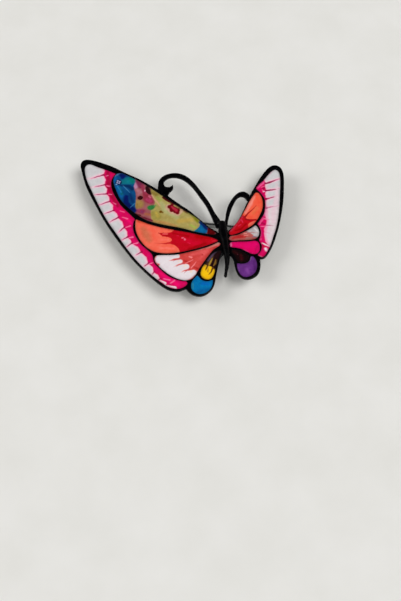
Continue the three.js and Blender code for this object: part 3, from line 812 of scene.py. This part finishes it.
# A red ground with orange flames that lick towards the body
LEFT_ORANGE_RED = [
    brush((212, 2, 44), 1.4, [(0.6, -4.4, 0.7), (4.2, -5.4, 0.7)]),
    brush(DARK_RED, 0.8, [(-2.4, -2.2, 0.2), (1.6, -3.1, 0.3)], [(2, -7.2, 0.4), (6.4, -5.4, 0.3)]),
    brush((186, 0, 4), 0.9, [(4, -3.2, 0.5), (7.6, -3.9, 0.3)]),
    # A painted highlight at the red tip by the body
    brush((238, 34, 66), 0.3, [(8.3, -4.6, 0.12), (9.2, -4.5, 0.16)]),
    patch(
        ORANGE, 0.14, (-14, 3), (-8, 2.2), (-2, 0.2), (-2.2, -1.5), (-3, -1.9), (-4.2, -2.1), (-5.4, -2.1),
        (-6.4, -1.9), (-6, -2.7), (-4.6, -3.3), (-3.4, -3.4), (-2.6, -3.9), (-2.6, -4.5), (-3.4, -5),
        (-4.8, -5.3), (-6.6, -5.3), (-4.8, -5.6), (-3, -5.6), (-1.8, -5.9), (-1.1, -6.7), (-0.6, -7.6),
        (-0.8, -9), (-10, -9.6), (-14, -4),
    ),
    brush((238, 92, 92), 0.2, [(-5.2, -2.4, 0.16), (-4, -2.5, 0.2)]),
    brush((184, 12, 22), 0.12, [(-6.4, -2.1, 0.1), (-5.7, -2.3, 0.12), (-5, -2, 0.06)]),
    brush((184, 12, 22), 0.14, [(-5.3, -3.1, 0.12), (-4.4, -3, 0.16), (-3.4, -2.8, 0.3)]),
    brush((214, 48, 44), 0.12, [(-7.7, -5.25, 0.02), (-5, -5.4, 0.07), (-3, -5.35, 0.16)]),
    # A broad painted glare: the tan patch on the left of the orange
    brush((214, 114, 82), 1.8, [(-10.6, -0.9, 0.8), (-9.8, -2.6, 1.2), (-9, -4.2, 0.8)]),
    # A painted highlight along the left rim
    brush((246, 172, 136), 0.25, [(-12.9, 1.6, 0.08), (-12.9, -0.6, 0.12), (-12.4, -3.4, 0.06)]),
    brush((214, 76, 44), 0.9, [(-12, 1.6, 0.4), (-8.4, 0.8, 0.4), (-3.4, -0.6, 0.1)]),
    brush(
        (255, 124, 106), 0.6, [(-5.6, -4.2, 0.3), (-3.6, -4.2, 0.3)], [(-5.8, -6.8, 0.3), (-2.2, -6.9, 0.3)],
    ),
    brush((246, 120, 148), 0.16, [(0.75, -4.15, 0.32)], [(0, -3.7, 0.15), (0.4, -3.65, 0.15)]),
    brush((150, 0, 20), 0.12, [(0.5, -4.2, 0.12)]),
    brush(
        (234, 36, 84), 0.2, [(1.5, -5.1, 0.05), (2.3, -5.4, 0.12)], [(-1.4, -2.9, 0.04), (-0.8, -3, 0.08)],
    ),
]

# White flame tips over coral, each in a blush edge
FLAME_BLUSH = 0.11
FLAME_TIPS = [
    [(-5.6, -10.2, 1.5), (-2.4, -9.3, 0.8), (-1.15, -9.3, 0.55)],
    [(-4.4, -12.4, 1.6), (-1.6, -11.3, 0.68), (-0.35, -10.9, 0.51)],
    [(-2.6, -14.4, 1.6), (-0.2, -12.9, 0.98), (1.25, -12.5, 0.75)],
    [(-0.4, -15.9, 1.6), (1.8, -15, 1.2), (3.15, -14.4, 0.89)],
]
LEFT_CORAL = [
    brush(DEEP_CORAL, 0.7, [(0.6, -10.6, 0.2), (2, -11.4, 0.3)], [(3, -12.4, 0.2), (4.4, -13.2, 0.3)]),
    brush((228, 92, 92), 1, [(2.6, -9, 0.3), (6.8, -7.6, 0.5), (5, -10, 0.3)]),
    brush(DEEP_CORAL, 0.4, [(5.6, -8.9, 0.2)], [(9, -6.9, 0.12), (7.8, -8, 0.12)]),
    # A painted highlight at the coral's end by the body
    brush((242, 120, 118), 0.4, [(8.2, -6.3, 0.1), (10, -5.8, 0.16)]),
    brush((208, 154, 142), 0.3, [(3.2, -7.9, 0.08), (7.4, -6.6, 0.18), (10.2, -5.2, 0.26)]),
    brush((240, 172, 168), 0.14, *widened(FLAME_TIPS, FLAME_BLUSH)),
    brush((236, 226, 230), 0.2, *FLAME_TIPS),
    brush(
        (204, 92, 100), 0.1, [(-0.5, -9.9, 0.16), (-2.4, -10.9, 0.03)],
        [(0.4, -11.5, 0.16), (-1.5, -12.5, 0.03)], [(2, -13, 0.16), (0.6, -14.6, 0.03)],
    ),
    brush((244, 222, 200), 0.5, [(-0.8, -10.9, 0.2)], [(0.9, -12.4, 0.3)], [(2.6, -14, 0.3)]),
    brush(
        CORAL_LIGHT, 0.14, [(2, -9.4, 0.16), (2.7, -9.7, 0.24)],
        [(0.9, -11.5, 0.08), (2.2, -10.9, 0.14), (3.1, -10.4, 0.08)],
        [(2.5, -13, 0.12), (3.4, -11.8, 0.15), (3.9, -11, 0.06)],
    ),
]

# Yellow flames over dark brown
LEFT_AMBER = [
    brush((78, 50, 34), 0.6, [(8.4, -9.4, 0.2), (7.5, -11.2, 0.4), (6.6, -12, 0.3)]),
    # A painted reflection along the upper left edge
    brush((100, 80, 104), 0.35, [(9.8, -7.2, 0.12), (8.2, -9, 0.26), (7, -10.8, 0.2)]),
    brush((176, 140, 52), 0.25, [(8.2, -10, 0.1), (7.75, -11.1, 0.24), (7.2, -12.2, 0.2)]),
    brush((150, 112, 46), 0.25, [(9.2, -10.4, 0.08), (8.95, -11.6, 0.18), (8.6, -12.2, 0.12)]),
    patch(
        (226, 176, 30), 0.25, (4.9, -14.6), (5.3, -13), (6, -12), (6.5, -11.7), (6.9, -12.6), (7.5, -12.3),
        (8, -12.3), (8.2, -13.2), (8.8, -13), (9.1, -14.2), (8.6, -15.8), (7, -17), (5, -16.6),
    ),
    brush(YELLOW, 0.5, [(6, -13.2, 0.5), (6.1, -14.6, 0.9), (7, -15.5, 0.8)]),
    brush(YELLOW, 0.3, [(7.7, -12.8, 0.2), (7.5, -13.9, 0.3)], [(8.6, -13.6, 0.15), (8.3, -15, 0.3)]),
    brush((84, 44, 14), 0.14, [(7.1, -12, 0.2), (6.75, -12.9, 0.2), (6.4, -13.6, 0.05)]),
    brush((96, 52, 14), 0.14, [(8.4, -12.9, 0.22), (8, -14, 0.2), (7.2, -14.9, 0.05)]),
    brush((176, 120, 22), 0.2, [(7.3, -13.2, 0.05), (7, -14, 0.1)]),
]

# A plain blue, brushed
LEFT_BLUE = [
    # A painted highlight along the left edge
    brush((44, 142, 168), 0.5, [(3, -17.2, 0.1), (3, -19, 0.2)]),
    brush((2, 108, 190), 0.9, [(5.6, -17.6, 0.4), (7.2, -17.8, 0.4)]),
    brush((6, 96, 156), 0.9, [(4.4, -20.2, 0.4), (7.2, -19.4, 0.3)]),
]

# A pink band with white teeth above and one soft white area below them
RIGHT_BORDER = [
    brush((246, 96, 158), 0.5, [(21, 12.4, 0.2), (22.6, 14, 0.4)], [(22.9, 5.6, 0.3), (22.6, 3.4, 0.3)]),
    brush(
        (244, 90, 150), 0.4, [(21.2, 0.6, 0.15), (22.3, 2.4, 0.3)], [(21.3, -0.6, 0.1), (21.5, -4.2, 0.16)],
    ),
    brush(DEEP_PINK, 0.5, [(22, 1, 0.3), (22.6, 0.8, 0.3)], [(23.2, 13.2, 0.2), (22.6, 12, 0.3)]),
    patch(
        BLUSH, 0.3, (23.2, 8.6), (23.3, 6.8), (23.1, 5), (22.9, 3.2), (23.3, 1.9), (23.1, 0.4), (22.6, -0.6),
        (22.6, -3.4), (22.9, -5), (24, -7.2), (27, -6), (30, 4), (28.6, 9.6),
    ),
    patch(
        (228, 212, 216), 0.6, (23.9, 8.6), (23.8, 6.4), (23.6, 3.6), (23.8, 1), (23.2, -1.2), (23.1, -3.4),
        (23.5, -5), (24.2, -6.6), (27, -6), (30, 4), (28.6, 9.6),
    ),
    *toothed(RIGHT_SPIKES, 3),
    brush(PINK_WHITE, 0.9, [(26.4, 13.6, 0.2), (26.2, 8.2, 0.7), (25.2, 4.6, 0.6), (25, 1.4, 0.5)]),
    brush(SPIKE, 0.16, [(23.2, 13.8, 0.24), (24.6, 14.1, 0.18), (26, 14.8, 0.06)]),
    brush(SPIKE, 0.16, [(23.3, 11.4, 0.24), (24.6, 11.6, 0.16), (26.2, 11.9, 0.05)]),
    brush((190, 20, 84), 0.16, [(23.2, 8.6, 0.2), (24.3, 9, 0.1)]),
    brush((214, 140, 170), 0.2, [(23.3, 5.8, 0.12), (24.6, 6.2, 0.1), (26.3, 6.5, 0.04)]),
    brush((196, 110, 144), 0.18, [(23, 0.3, 0.16), (24.2, 0.3, 0.1), (25.2, 0.2, 0.02)]),
    brush((238, 150, 184), 0.3, [(22.8, 2.4, 0.16), (24, 2.1, 0.1)], [(22.8, -2, 0.1), (24, -2.2, 0.06)]),
    brush(
        LIGHT_PINK, 0.24, [(22, 12.5, 0.08), (23, 12.9, 0.1)], [(22.3, 11.7, 0.08), (22.8, 11.1, 0.16)],
        [(21.3, -0.1, 0.12), (22.6, 0, 0.16)],
    ),
    # Painted highlights: pale lavender spots in the pink
    brush(
        (240, 196, 222), 0.24, [(22.6, 11.1, 0.16), (23, 11.2, 0.12)], [(23.3, 9.4, 0.18)],
        [(23.3, 6.5, 0.2)],
    ),
    brush((244, 214, 224), 0.2, [(21.8, -5.2, 0.12), (22.7, -5.7, 0.24), (23.5, -6.2, 0.2)]),
    brush((196, 24, 80), 0.14, [(22, -5.1, 0.06), (22.8, -5.4, 0.1), (23.6, -6, 0.05)]),
    brush((216, 24, 62), 0.3, [(22.2, -6.4, 0.3), (22.6, -6.3, 0.15)]),
    brush((244, 170, 200), 0.3, [(22.7, -7, 0.42), (22.9, -7.6, 0.36)]),
    brush((246, 232, 238), 0.3, [(22.7, -7, 0.22), (22.9, -7.4, 0.2)]),
    brush(
        (248, 140, 184), 0.25, [(23.5, -8.2, 0.12), (22.9, -9.3, 0.12), (22, -9.9, 0.12), (21, -9.3, 0.12)],
    ),
]

# Orange above and red below, with a dark line between them
RIGHT_ORANGE_RED = [
    # A painted highlight: a pale salmon band along the left rim
    brush((251, 148, 132), 0.7, [(20.1, 9.6, 0.2), (18.8, 7, 0.5), (17.5, 4.4, 0.4)]),
    brush((236, 60, 44), 0.3, [(20.7, 10, 0.14)]),
    brush((238, 116, 76), 0.8, [(19.6, 4.2, 0.5), (20.8, 6, 0.3)]),
    patch(
        (198, 6, 26), 0.2, (16.2, 3.4), (17.2, 3.6), (17.4, 2.4), (18.8, 2.2), (20.6, 2.4), (21, 1.6),
        (20.2, 1.7), (18.6, 1.2), (18, 0.2), (18.4, -0.6), (18, -1.4), (13, -3.6), (12, -1.8), (14.5, 1.4),
    ),
    brush((240, 104, 90), 0.25, [(18.4, 0.5, 0.2), (19.2, 1, 0.4), (20.1, 1.6, 0.15)]),
    brush((164, 16, 22), 0.16, [(20.5, 6.7, 0.04), (19.6, 5.6, 0.1), (18.1, 4, 0.17), (17.2, 2.8, 0.3)]),
    brush((156, 8, 20), 0.18, [(17.4, 2.3, 0.2), (18.6, 1.95, 0.16), (20.3, 2.2, 0.08)]),
    # Painted highlights: pink glints near the left rim
    brush((228, 52, 88), 0.3, [(16.4, 2, 0.12), (16.7, 1.2, 0.12)], [(16.1, 0.6, 0.1), (15.4, 0, 0.06)]),
    brush((166, 0, 6), 0.4, [(17.6, 0.8, 0.2), (16.2, -0.8, 0.3), (14.6, -1.4, 0.2)]),
    # A painted highlight along the left rim of the red
    brush((214, 66, 98), 0.35, [(16.6, 3, 0.14), (14.7, 0.2, 0.16), (13.2, -1.6, 0.2)]),
]

# Coral with a white end
RIGHT_CORAL = [
    brush((192, 44, 46), 0.5, [(13.9, -3.8, 0.3), (15.4, -3.3, 0.5), (17.2, -3.2, 0.4)]),
    patch(
        (196, 188, 190), 0.25, (17.6, -1.6), (19, -2.3), (19.8, -3.3), (20.9, -3.6), (21.8, -2.4),
        (21.4, -0.4), (20.4, 0.9), (18.6, -0.2), (17.4, -0.9),
    ),
    brush((224, 216, 218), 0.4, [(19.8, -0.6, 0.2), (20.8, -1.6, 0.3)]),
    brush((186, 124, 126), 0.22, [(17.6, -2, 0.14), (19.4, -1.9, 0.12), (20.6, -2.1, 0.05)]),
    brush((136, 112, 130), 0.4, [(19.4, -3.3, 0.2), (20.2, -3.2, 0.12)]),
    brush((172, 112, 104), 0.4, [(17.6, -3.8, 0.3), (18.8, -3.7, 0.2)]),
    brush(
        (236, 140, 132), 0.2, [(16.4, -2.4, 0.1), (17.6, -2.3, 0.16)], [(16.9, -3, 0.1), (18, -2.8, 0.12)],
    ),
    # A painted highlight at the cell's end by the body
    brush((208, 120, 126), 0.3, [(13.2, -3.2, 0.14), (13.2, -4.2, 0.14)]),
]

# A plain pink, brushed
RIGHT_PINK = [
    # A painted highlight at the cell's end by the body
    brush((240, 140, 186), 0.4, [(13.3, -5.3, 0.18), (13.3, -6.3, 0.22)]),
    brush(
        (246, 84, 154), 0.16,
        [(14.6, -6.8, 0.04), (16.6, -7.4, 0.06), (18.4, -8.3, 0.06), (19.8, -8.5, 0.04)],
    ),
    brush((200, 8, 92), 0.9, [(20.4, -6.4, 0.3), (19.9, -7.8, 0.2)]),
]

# A nearly black maroon
RIGHT_MAROON = [
    brush((64, 4, 14), 0.7, [(16, -9, 0.3), (16.2, -10.2, 0.4)]),
    brush((44, 4, 7), 0.6, [(14, -7.9, 0.3), (15, -8.6, 0.3)]),
    # A painted glint
    brush((96, 48, 58), 0.3, [(15.1, -8.8, 0.1)]),
]

# A plain purple, brushed
RIGHT_PURPLE = [
    # Painted highlights along the notch's edge and the left edge
    brush((152, 114, 174), 0.25, [(18.6, -9.4, 0.1), (18.4, -10.6, 0.12)]),
    brush((146, 108, 166), 0.22, [(15.1, -12.2, 0.12), (15.3, -13.4, 0.08), (15.9, -14.6, 0.06)]),
    brush((88, 36, 114), 0.9, [(19.4, -11, 0.2), (19.8, -13.4, 0.3)]),
    brush((128, 66, 152), 0.7, [(17.4, -13.2, 0.4), (18.2, -14.6, 0.3)]),
]

# Each cell of enamel: its slot, its ground colour and the layers over it
ENAMELS = {
    "left_border_enamel": ("white_pink_enamel", PINK, LEFT_BORDER),
    "left_floral_enamel": ("floral_enamel", OLIVE, FLORAL),
    "left_orange_red_enamel": ("orange_red_enamel", RED, LEFT_ORANGE_RED),
    "left_coral_enamel": ("white_coral_enamel", CORAL, LEFT_CORAL),
    "left_amber_enamel": ("amber_enamel", (34, 8, 12), LEFT_AMBER),
    "left_blue_enamel": ("blue_enamel", (0, 118, 178), LEFT_BLUE),
    "right_border_enamel": ("white_pink_enamel", PINK, RIGHT_BORDER),
    "right_orange_red_enamel": ("orange_red_enamel", (247, 98, 70), RIGHT_ORANGE_RED),
    "right_coral_enamel": ("white_coral_enamel", (190, 92, 86), RIGHT_CORAL),
    "right_pink_enamel": ("pink_enamel", (230, 2, 106), RIGHT_PINK),
    "right_maroon_enamel": ("maroon_enamel", (20, 1, 3), RIGHT_MAROON),
    "right_purple_enamel": ("purple_enamel", (108, 50, 134), RIGHT_PURPLE),
}


# ---- Materials. Noise sizes and bump depths are in millimetres ----


class Shader:
    """A node material being built around one Principled BSDF."""

    def __init__(self, name):
        self.material = bpy.data.materials.new(name)
        self.material.use_nodes = True
        self.tree = self.material.node_tree
        self.surface = self.tree.nodes["Principled BSDF"]
        place = self.tree.nodes.new("ShaderNodeTexCoord")
        self.place = place.outputs["Object"]

    def node(self, kind, inputs=None, **settings):
        made = self.tree.nodes.new(kind)
        for key, value in settings.items():
            setattr(made, key, value)
        for key, value in (inputs or {}).items():
            self.feed(made.inputs[key], value)
        return made

    def feed(self, socket, value):
        if isinstance(value, bpy.types.NodeSocket):
            self.tree.links.new(value, socket)
        else:
            socket.default_value = value

    def noise(self, size_mm, detail=3, stretch=(1, 1, 1), roughness=0.5):
        """Noise with features of about the given size."""
        scale = tuple(s / (size_mm * MM) for s in stretch)
        scaled = self.node("ShaderNodeMapping", {"Vector": self.place, "Scale": scale}).outputs[0]
        inputs = {"Vector": scaled, "Scale": 1, "Detail": detail, "Roughness": roughness}
        return self.node("ShaderNodeTexNoise", inputs).outputs["Fac"]

    def between(self, share, low, high, from_low=0.3, from_high=0.7):
        """A number that follows share from low to high."""
        inputs = {"Value": share, "From Min": from_low, "From Max": from_high, "To Min": low, "To Max": high}
        return self.node("ShaderNodeMapRange", inputs).outputs["Result"]

    def mixed(self, share, first, second, blend="MIX"):
        made = self.node("ShaderNodeMix", data_type="RGBA", blend_type=blend)
        self.feed(made.inputs["Factor"], share)
        self.feed(made.inputs["A"], first)
        self.feed(made.inputs["B"], second)
        return made.outputs["Result"]

    def bumps(self, height, depth_mm, below=None):
        inputs = {"Height": height, "Strength": 1.0, "Distance": depth_mm * MM}
        if below is not None:
            inputs["Normal"] = below
        return self.node("ShaderNodeBump", inputs).outputs["Normal"]

    def set(self, **inputs):
        for key, value in inputs.items():
            self.feed(self.surface.inputs[key.replace("_", " ")], value)
        return self.material


def rgba(rgb):
    return (*linear(rgb), 1.0)


def enamel_material():
    """Glossy fired enamel over hand-laid colour, with faint clouding, specks and a soft ripple."""
    shader = Shader("fired enamel")
    colour = shader.node("ShaderNodeAttribute", attribute_name="paint").outputs["Color"]
    deep = shader.between(shader.noise(1.7, 4), 0.0, 0.35)
    colour = shader.mixed(deep, colour, colour, "MULTIPLY")
    bright = shader.between(shader.noise(0.6, 4), 0.0, 0.22, 0.45, 0.75)
    colour = shader.mixed(bright, colour, colour, "SCREEN")
    fleck = shader.between(shader.noise(0.33, 5, roughness=0.65), 0.0, 0.05, 0.62, 0.8)
    colour = shader.mixed(fleck, colour, rgba((255, 246, 240)))
    ripple = shader.bumps(shader.noise(2.4, 1), 0.03)
    ripple = shader.bumps(shader.noise(0.5, 2), 0.0012, ripple)
    gloss = shader.between(shader.noise(0.9, 3), 0.07, 0.17)
    return shader.set(Base_Color=colour, Roughness=gloss, Normal=ripple, IOR=1.52)


def black_plate_material():
    """Black plating: nearly black, glossy, with hairline scratches, handling marks and thin wear."""
    shader = Shader("black plate")
    marks = shader.noise(1.1, 4)
    scratches = shader.noise(0.09, 2, stretch=(1, 0.06, 1))
    cross = shader.noise(0.11, 2, stretch=(0.07, 1, 1))
    colour = shader.mixed(shader.between(marks, 0, 1), rgba((1, 1, 2)), rgba((5, 5, 7)))
    colour = shader.mixed(shader.between(scratches, 0, 0.5, 0.62, 0.78), colour, rgba((16, 16, 18)))
    gloss = shader.between(marks, 0.2, 0.36)
    normal = shader.bumps(scratches, 0.0008)
    normal = shader.bumps(cross, 0.0006, normal)
    normal = shader.bumps(shader.noise(0.7, 2), 0.004, normal)
    return shader.set(Base_Color=colour, Roughness=gloss, Normal=normal, IOR=1.45, Specular_IOR_Level=0.08)


def dark_steel_material():
    """Darkened spring steel, drawn along its length."""
    shader = Shader("dark steel")
    drawn = shader.noise(0.07, 2, stretch=(0.05, 1, 1))
    cloud = shader.noise(0.9, 3)
    colour = shader.mixed(shader.between(cloud, 0, 1), rgba((58, 60, 62)), rgba((92, 93, 94)))
    colour = shader.mixed(shader.between(drawn, 0, 0.35, 0.5, 0.75), colour, rgba((138, 138, 136)))
    gloss = shader.between(drawn, 0.2, 0.36)
    normal = shader.bumps(drawn, 0.0012)
    return shader.set(Base_Color=colour, Roughness=gloss, Normal=normal, Metallic=1.0)


# ---- The pieces put together ----


def place(piece, node, body, material, slot):
    """A finished piece takes the place of its CAD node."""
    piece.data.materials.append(material)
    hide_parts(node)
    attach(piece, body)


def build_metalwork():
    black = black_plate_material()
    steel = dark_steel_material()
    castings = {
        "left_wing_frame": wing_tray,
        "right_wing_frame": wing_tray,
        "left_antenna": antenna,
        "right_antenna": antenna,
        "body_casting": body_casting,
        "hinge_bracket": finding,
        "catch_housing": finding,
    }
    for node, make in castings.items():
        place(make(node), node, "brooch", black, "black_plate")
    for node, body in (("hinge_rivet", "brooch"), ("pin_stem", "pin"), ("catch_sleeve", "safety_sleeve")):
        place(finding(node), node, body, steel, "dark_steel")


def build_enamel():
    fired = enamel_material()
    face = top_of("left_wing_frame")
    for node, (slot, ground, layers) in ENAMELS.items():
        piece = enamel_fill(node, face)
        paint(piece, node, ground, layers)
        place(piece, node, "brooch", fired, slot)


# ---- Camera, light and floor ----

CAMERA_ELEVATION = math.radians(64)
CAMERA_AIM = Vector((5.07, -22.7, 5.1)) * MM
CAMERA_DISTANCE = 269.25 * MM
CAMERA_LENS = 61.04
SENSOR_WIDTH = 36
CAMERA_REACH = (0.01, 10)

FLOOR_REACH = 1.5
FLOOR_CLOUD = 14
FLOOR_TONES = ((226, 225, 220), (231, 230, 226))
FLOOR_ROUGHNESS = 0.7

# Each light's azimuth, elevation and spread in degrees, and its strength
LIGHTS = {
    "key": (100, 60, 38, 1.6),
    "front": (-170, 50, 60, 0.66),
    "left": (-95, 38, 34, 1.22),
}

# The walls' light, the ceiling's, and the sines of the heights between which one turns into the other
WALL_LIGHT = 0.6
CEILING_LIGHT = 0.05
WALL_TOP = (0.2, 0.62)
STUDIO_TINT = (1, 0.99, 0.975, 1)


def add_camera():
    data = bpy.data.cameras.new("camera")
    data.lens = CAMERA_LENS
    data.sensor_width = SENSOR_WIDTH
    data.clip_start, data.clip_end = CAMERA_REACH
    camera = linked("camera", data)
    back = Vector((0, -math.cos(CAMERA_ELEVATION), math.sin(CAMERA_ELEVATION)))
    camera.location = CAMERA_AIM + back * CAMERA_DISTANCE
    camera.rotation_euler = (math.pi / 2 - CAMERA_ELEVATION, 0, 0)
    bpy.context.scene.camera = camera


def add_light(name, azimuth, elevation, spread, strength):
    """A broad soft light. Azimuth 0 is at the brooch's head, and 90 on the right of its face."""
    data = bpy.data.lights.new(name, "SUN")
    data.angle = math.radians(spread)
    data.energy = strength
    light = linked(name, data)
    a = math.radians(azimuth)
    e = math.radians(elevation)
    towards = Vector((math.sin(a) * math.cos(e), math.cos(a) * math.cos(e), math.sin(e)))
    light.rotation_mode = "QUATERNION"
    light.rotation_quaternion = towards.to_track_quat("Z", "Y")


def add_floor():
    mesh = bpy.data.meshes.new("floor")
    corners = [(x * FLOOR_REACH, y * FLOOR_REACH, 0) for x, y in ((-1, -1), (1, -1), (1, 1), (-1, 1))]
    mesh.from_pydata(corners, [], [(0, 1, 2, 3)])
    floor = linked("floor", mesh)
    shader = Shader("pale table")
    tone = shader.between(shader.noise(FLOOR_CLOUD), 0, 1)
    colour = shader.mixed(tone, *map(rgba, FLOOR_TONES))
    floor.data.materials.append(shader.set(Base_Color=colour, Roughness=FLOOR_ROUGHNESS))


def studio_world():
    """A studio with pale walls round the table and a dim ceiling."""
    world = bpy.data.worlds.new("studio")
    world.use_nodes = True
    tree = world.node_tree
    place = tree.nodes.new("ShaderNodeTexCoord")
    height = tree.nodes.new("ShaderNodeSeparateXYZ")
    tree.links.new(place.outputs["Generated"], height.inputs[0])
    ramp = tree.nodes.new("ShaderNodeMapRange")
    ramp.interpolation_type = "SMOOTHSTEP"
    ramp.inputs["From Min"].default_value = WALL_TOP[0]
    ramp.inputs["From Max"].default_value = WALL_TOP[1]
    ramp.inputs["To Min"].default_value = WALL_LIGHT
    ramp.inputs["To Max"].default_value = CEILING_LIGHT
    tree.links.new(height.outputs["Z"], ramp.inputs["Value"])
    background = tree.nodes["Background"]
    background.inputs["Color"].default_value = STUDIO_TINT
    tree.links.new(ramp.outputs["Result"], background.inputs["Strength"])
    bpy.context.scene.world = world


def light_scene():
    studio_world()
    for name, settings in LIGHTS.items():
        add_light(name, *settings)
    bpy.context.scene.view_settings.view_transform = "Standard"


add_camera()
add_floor()
light_scene()
build_metalwork()
build_enamel()
